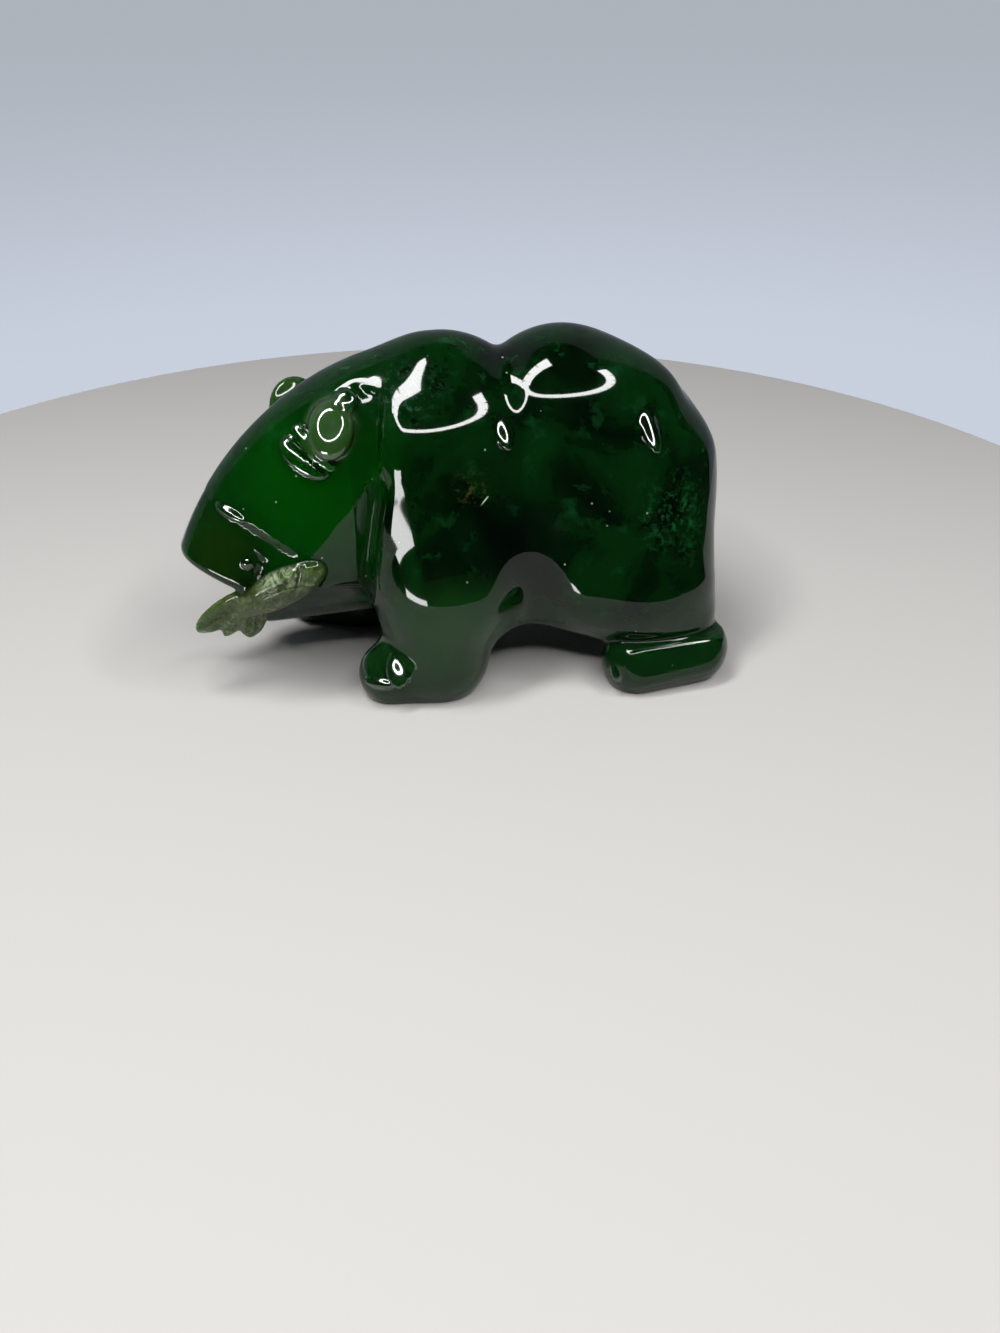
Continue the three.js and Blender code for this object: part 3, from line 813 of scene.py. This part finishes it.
def make_backdrop():
    """A cove of paper behind the bear that leans over it, shown brighter than it shines."""
    rows, columns = 24, 36
    corners = []
    for i in range(rows + 1):
        el = math.radians(BACKDROP_BOTTOM + (BACKDROP_TOP - BACKDROP_BOTTOM) * i / rows)
        for j in range(columns + 1):
            az = math.radians(180 - BACKDROP_SPREAD + 2 * BACKDROP_SPREAD * j / columns)
            corners.append((
                BACKDROP_RADIUS * math.sin(az) * math.cos(el),
                -BACKDROP_RADIUS * math.cos(az) * math.cos(el),
                BACKDROP_RADIUS * math.sin(el),
            ))
    wide = columns + 1
    faces = [(i * wide + j, i * wide + j + 1, (i + 1) * wide + j + 1, (i + 1) * wide + j)
             for i in range(rows) for j in range(columns)]
    backdrop = link_mesh("backdrop", corners, faces)
    material = bpy.data.materials.new("backdrop")
    material.use_nodes = True
    nodes = Nodes(material.node_tree)
    glow = nodes.add("ShaderNodeEmission")
    height = nodes.add("ShaderNodeSeparateXYZ")
    nodes.link(millimetres(nodes), height.inputs[0])
    fade = nodes.range(height.outputs["Z"], *BACKDROP_FADE)
    nodes.link(nodes.mix(fade, BACKDROP_LOW_COLOUR, BACKDROP_COLOUR), glow.inputs["Color"])
    seen = nodes.add("ShaderNodeLightPath").outputs["Is Camera Ray"]
    nodes.link(nodes.range(seen, 0.0, 1.0, BACKDROP_SHINE, 1.0), glow.inputs["Strength"])
    out = nodes.add("ShaderNodeOutputMaterial")
    nodes.link(glow.outputs["Emission"], out.inputs["Surface"])
    backdrop.data.materials.append(material)


def place_from(azimuth, elevation, distance):
    """A place seen from above the bear's middle: azimuth 0 toward -Y, 90 toward +X."""
    a, e = math.radians(azimuth), math.radians(elevation)
    return Vector((
        distance * math.sin(a) * math.cos(e),
        -distance * math.cos(a) * math.cos(e),
        distance * math.sin(e) + BEAR_MIDDLE_HEIGHT,
    ))


def add_panel(name, place, size, power, colour=(1, 1, 1), toward=(0, 0, BEAR_MIDDLE_HEIGHT)):
    light = bpy.data.lights.new(name, "AREA")
    light.shape = "RECTANGLE"
    light.size, light.size_y = size[0] * MM, size[1] * MM
    light.color = colour
    light.energy = power
    piece = bpy.data.objects.new(name, light)
    piece.location = place * MM
    piece.rotation_mode = "QUATERNION"
    piece.rotation_quaternion = (Vector(toward) - place).to_track_quat("-Z", "Y")
    piece.visible_camera = False
    bpy.context.scene.collection.objects.link(piece)
    return piece


def radiance_power(radiance, size):
    """Watts of a rectangular panel, sides in millimetres, that is to look this bright."""
    return radiance * math.pi * size[0] * size[1] * MM * MM


# Lamps, in millimetres and degrees; the ring is open at its far side and widest at its far left
RING_HEIGHT = 200.0
RING_MIDDLE = (0.0, -88.0)
RING_RADIUS = 118.0
RING_SQUASH = 0.76
RING_PARTS = 24
RING_OPEN = (40, 97)
RING_WIDE = (97, 160)
RING_BAND = 24.0
RING_WIDE_BAND = 36.0
RING_RADIANCE = 27.0
WINDOW_AT = (-43, -10.4, 220)
WINDOW_SIZE = (100.0, 33.0)
WINDOW_RADIANCE = 20.0


def make_lights():
    """An open, oval ring lamp over the camera's side and a low window at the front left."""
    for k in range(RING_PARTS):
        degrees = 360 * k / RING_PARTS
        if RING_OPEN[0] < degrees < RING_OPEN[1]:
            continue
        t = math.radians(degrees)
        along_x = RING_RADIUS * math.cos(t)
        along_y = RING_RADIUS * RING_SQUASH * math.sin(t)
        slant = math.atan2(RING_SQUASH * math.cos(t), -math.sin(t))
        speed = math.hypot(RING_RADIUS * math.sin(t), RING_RADIUS * RING_SQUASH * math.cos(t))
        side = 2 * math.tan(math.pi / RING_PARTS) * speed
        wide = RING_WIDE[0] <= degrees <= RING_WIDE[1]
        size = (side, RING_WIDE_BAND if wide else RING_BAND)
        place = Vector((RING_MIDDLE[0] + along_x, RING_MIDDLE[1] + along_y, RING_HEIGHT))
        light = add_panel(f"ring_{k:02d}", place, size, radiance_power(RING_RADIANCE, size))
        light.rotation_mode = "XYZ"
        light.rotation_euler = (0, 0, slant)
    add_panel("window", place_from(*WINDOW_AT), WINDOW_SIZE, radiance_power(WINDOW_RADIANCE, WINDOW_SIZE))


def make_world():
    """Dark to light and reflections, pale to the camera beyond the floor."""
    world = bpy.data.worlds.new("studio")
    world.use_nodes = True
    nodes = Nodes(world.node_tree)
    seen = nodes.add("ShaderNodeLightPath").outputs["Is Camera Ray"]
    shown = nodes.add("ShaderNodeBackground")
    height = nodes.add("ShaderNodeSeparateXYZ")
    nodes.link(nodes.add("ShaderNodeTexCoord").outputs["Generated"], height.inputs[0])
    fade = nodes.range(height.outputs["Z"], -0.30, 0.0)
    nodes.link(nodes.mix(fade, BACKDROP_LOW_COLOUR, BACKDROP_COLOUR), shown.inputs["Color"])
    dark = nodes.add("ShaderNodeBackground")
    dark.inputs["Color"].default_value = (0.012, 0.012, 0.014, 1)
    mix = nodes.add("ShaderNodeMixShader")
    nodes.link(seen, mix.inputs[0])
    nodes.link(dark.outputs[0], mix.inputs[1])
    nodes.link(shown.outputs[0], mix.inputs[2])
    out = nodes.add("ShaderNodeOutputWorld")
    nodes.link(mix.outputs[0], out.inputs["Surface"])
    bpy.context.scene.world = world


def make_camera():
    data = bpy.data.cameras.new("camera")
    data.sensor_width = SENSOR
    data.lens = FOCAL_PIXELS * SENSOR / max(IMAGE_SIZE)
    data.clip_start = 0.005
    data.clip_end = 2.0
    a, e = math.radians(CAMERA_AZIMUTH), math.radians(CAMERA_ELEVATION)
    back = Vector((math.sin(a) * math.cos(e), -math.cos(a) * math.cos(e), math.sin(e)))
    camera = bpy.data.objects.new("camera", data)
    camera.location = (Vector(CAMERA_TARGET) + back * CAMERA_DISTANCE) * MM
    camera.rotation_mode = "QUATERNION"
    camera.rotation_quaternion = (-back).to_track_quat("-Z", "Y")
    bpy.context.scene.collection.objects.link(camera)
    bpy.context.scene.camera = camera


make_camera()
piece = make_carving()
piece.data.materials.append(jade())
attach(piece, "root")
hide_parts("bear_with_fish")
make_floor()
make_backdrop()
make_lights()
make_world()
bpy.context.scene.view_settings.view_transform = "Standard"
